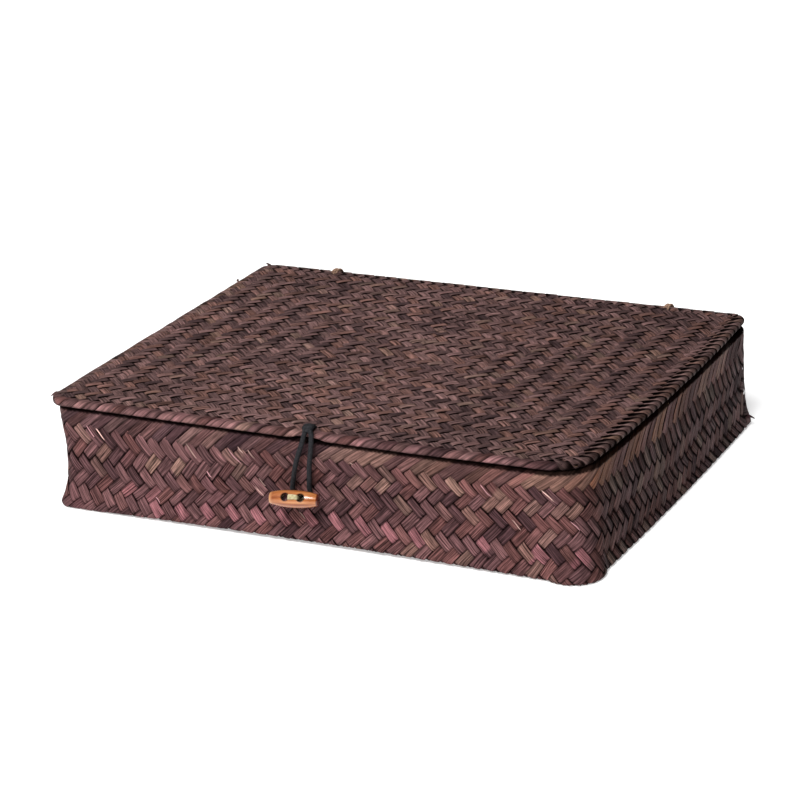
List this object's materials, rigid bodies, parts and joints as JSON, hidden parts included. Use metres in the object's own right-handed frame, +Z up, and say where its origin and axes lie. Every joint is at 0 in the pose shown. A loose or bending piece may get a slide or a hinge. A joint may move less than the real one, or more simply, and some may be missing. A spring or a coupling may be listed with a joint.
{
  "type": "woven lidded box",
  "caption": "Shallow rectangular box plaited on the bias from flat leaf strips, with a flat lashed lid and an elastic loop that hooks over a wooden toggle.",
  "frame": {"origin": "centre of the footprint at the level of the underside, measured without the elastic cord", "axes": "+Z up, the front with the toggle towards -Y, the lashed hinge side towards +Y, +X to the right as seen from the front"},
  "size_m": [0.3478, 0.2914, 0.074],
  "materials": {
    "outer_mat": "satin",
    "lining_mat": "matte",
    "fold_strips": "satin",
    "lid_mat": "satin",
    "cane": "satin",
    "twine": "matte",
    "toggle_wood": "gloss",
    "sewing_thread": "matte",
    "elastic": "matte"
  },
  "bodies": {
    "box": {"body_outer_weave": "outer_mat", "body_inner_weave": "lining_mat", "rim_band": "fold_strips", "rim_hoop": "cane", "hinge_tie_left": "twine", "hinge_tie_right": "twine"},
    "lid": {"lid_border": "fold_strips", "lid_hoop": "cane", "lid_upper_panel": "lid_mat", "lid_lower_panel": "lining_mat", "cord_root": "elastic", "cord_stop_knot": "elastic"},
    "knot": {"cord_knot": "elastic"},
    "loop": {"elastic_loop": "elastic"},
    "toggle": {"toggle": "toggle_wood", "toggle_thread": "sewing_thread"}
  },
  "joints": [
    {"name": "lid_hinge", "type": "hinge", "parent": "box", "child": "lid", "pos_m": [0, 0.13846, 0.06525], "axis": [-1, 0, 0], "range_deg": [0, 110], "deforming": ["elastic_loop"]},
    {"name": "cord_droop", "type": "hinge", "parent": "lid", "child": "knot", "pos_m": [0.00103, -0.12959, 0.06785], "axis": [1, 0, 0], "range_deg": [0, 44]},
    {"name": "loop_swing", "type": "hinge", "parent": "knot", "child": "loop", "pos_m": [0.00103, -0.13184, 0.07175], "axis": [-1, 0, 0], "range_deg": [0, 150]},
    {"name": "toggle_swivel", "type": "hinge", "parent": "box", "child": "toggle", "pos_m": [-0.00627, -0.13944, 0.0286], "axis": [0, 1, 0], "range_deg": [-90, 90]}
  ],
  "couplings": [
    {"joint": "cord_droop", "follows": "lid_hinge", "ratio": 0.4}
  ]
}
